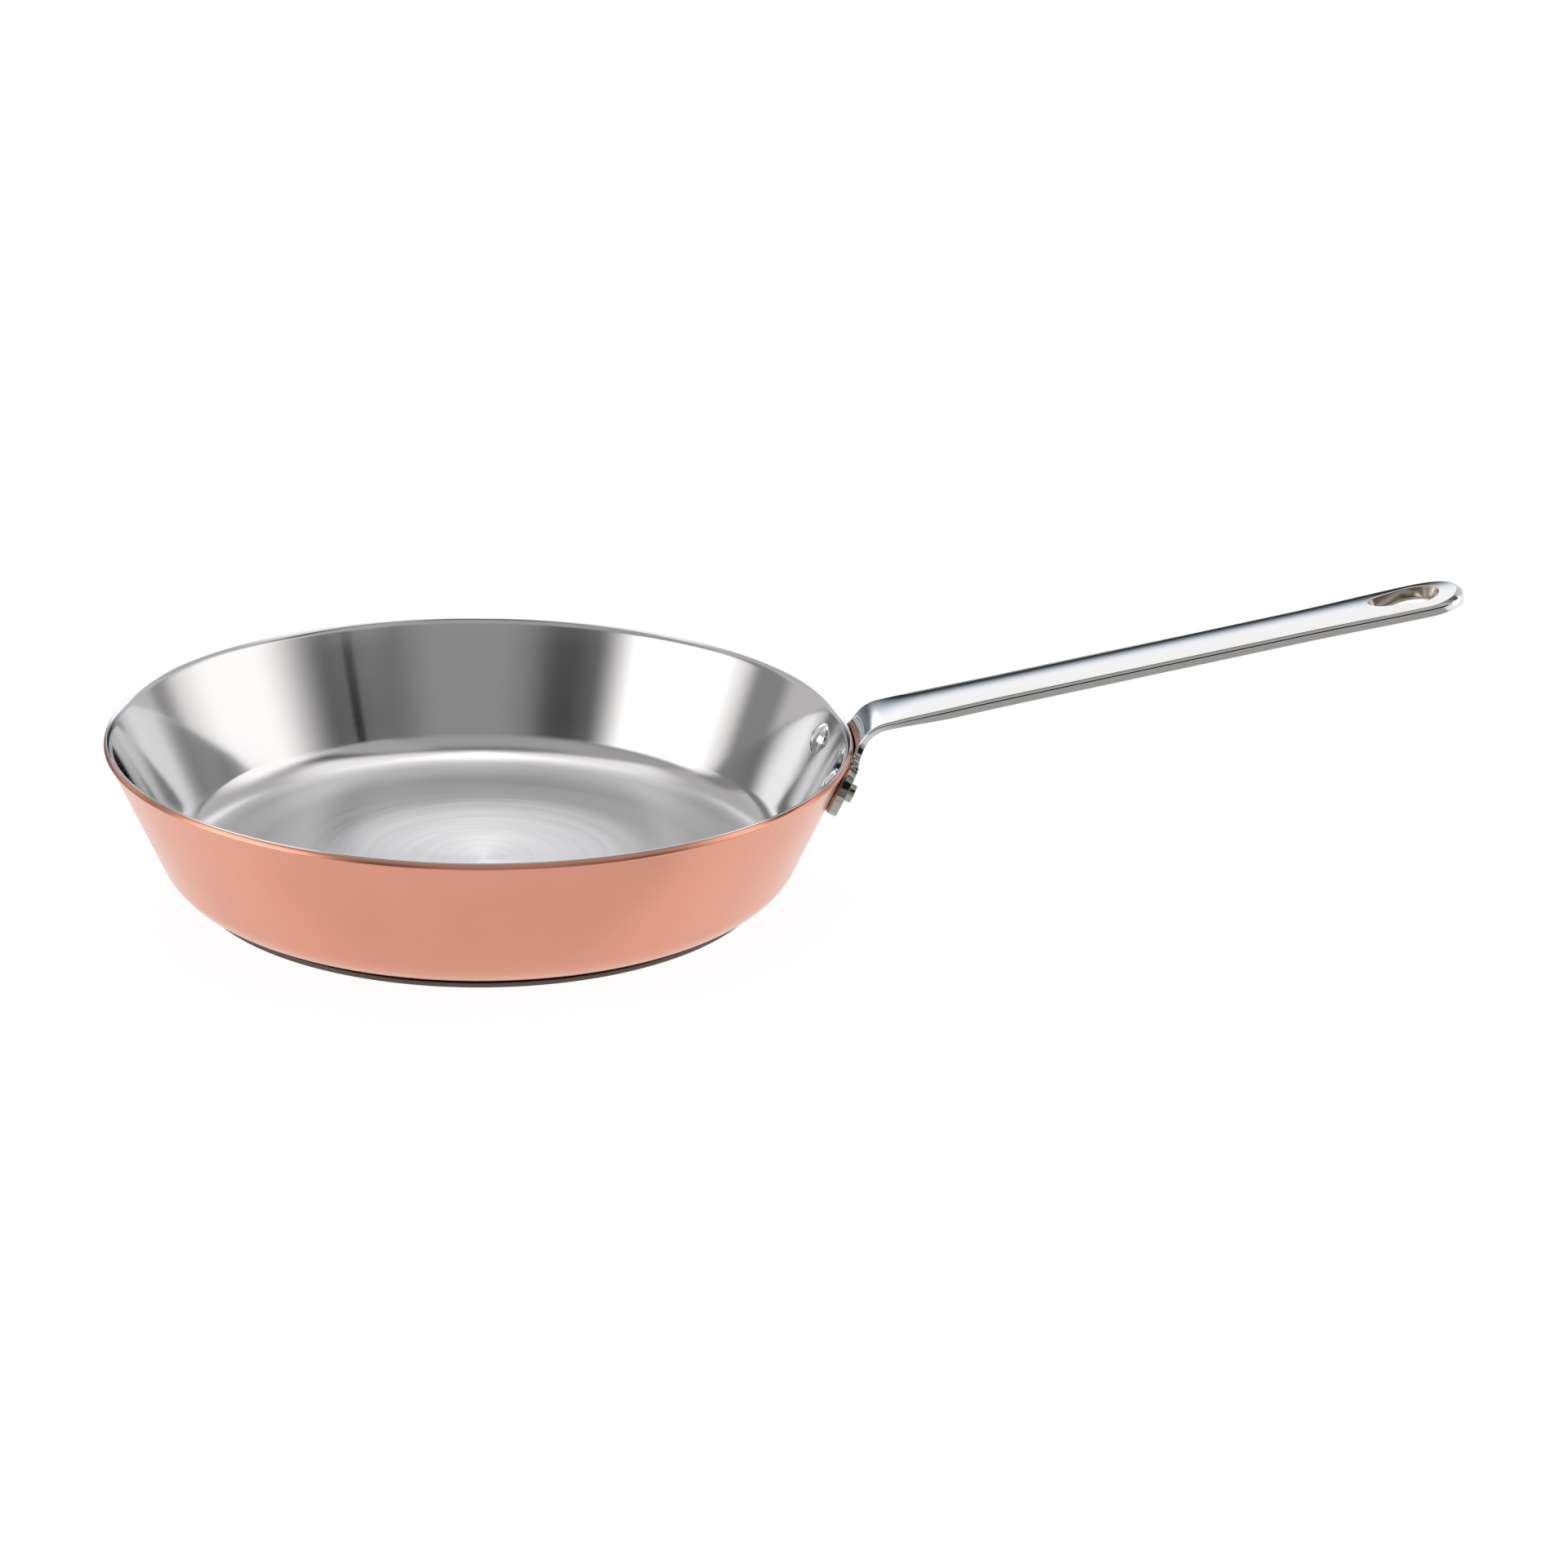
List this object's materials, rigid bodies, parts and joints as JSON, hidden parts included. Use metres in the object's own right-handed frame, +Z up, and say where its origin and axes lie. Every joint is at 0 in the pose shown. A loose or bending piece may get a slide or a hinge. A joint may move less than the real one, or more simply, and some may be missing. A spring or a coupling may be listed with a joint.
{
  "type": "frying pan",
  "caption": "Round frying pan with a flared copper outside, a steel inside, an induction base disc and a long riveted steel handle.",
  "frame": {"origin": "centre of the flat underside of the base disc", "axes": "+X along the handle away from the bowl, +Y across the handle, +Z up along the bowl's axis"},
  "size_m": [0.475, 0.26, 0.1128],
  "materials": {
    "copper_outside": "polished copper",
    "steel_inside": "fine circular brushing",
    "base_steel": "satin, dark edge",
    "handle_steel": "mirror polished",
    "rivet_steel": "polished"
  },
  "bodies": {
    "root": {"copper_shell": "copper_outside", "steel_liner": "steel_inside", "induction_base_disc": "base_steel", "handle": "handle_steel", "rivet_right": "rivet_steel", "rivet_left": "rivet_steel"}
  },
  "joints": []
}
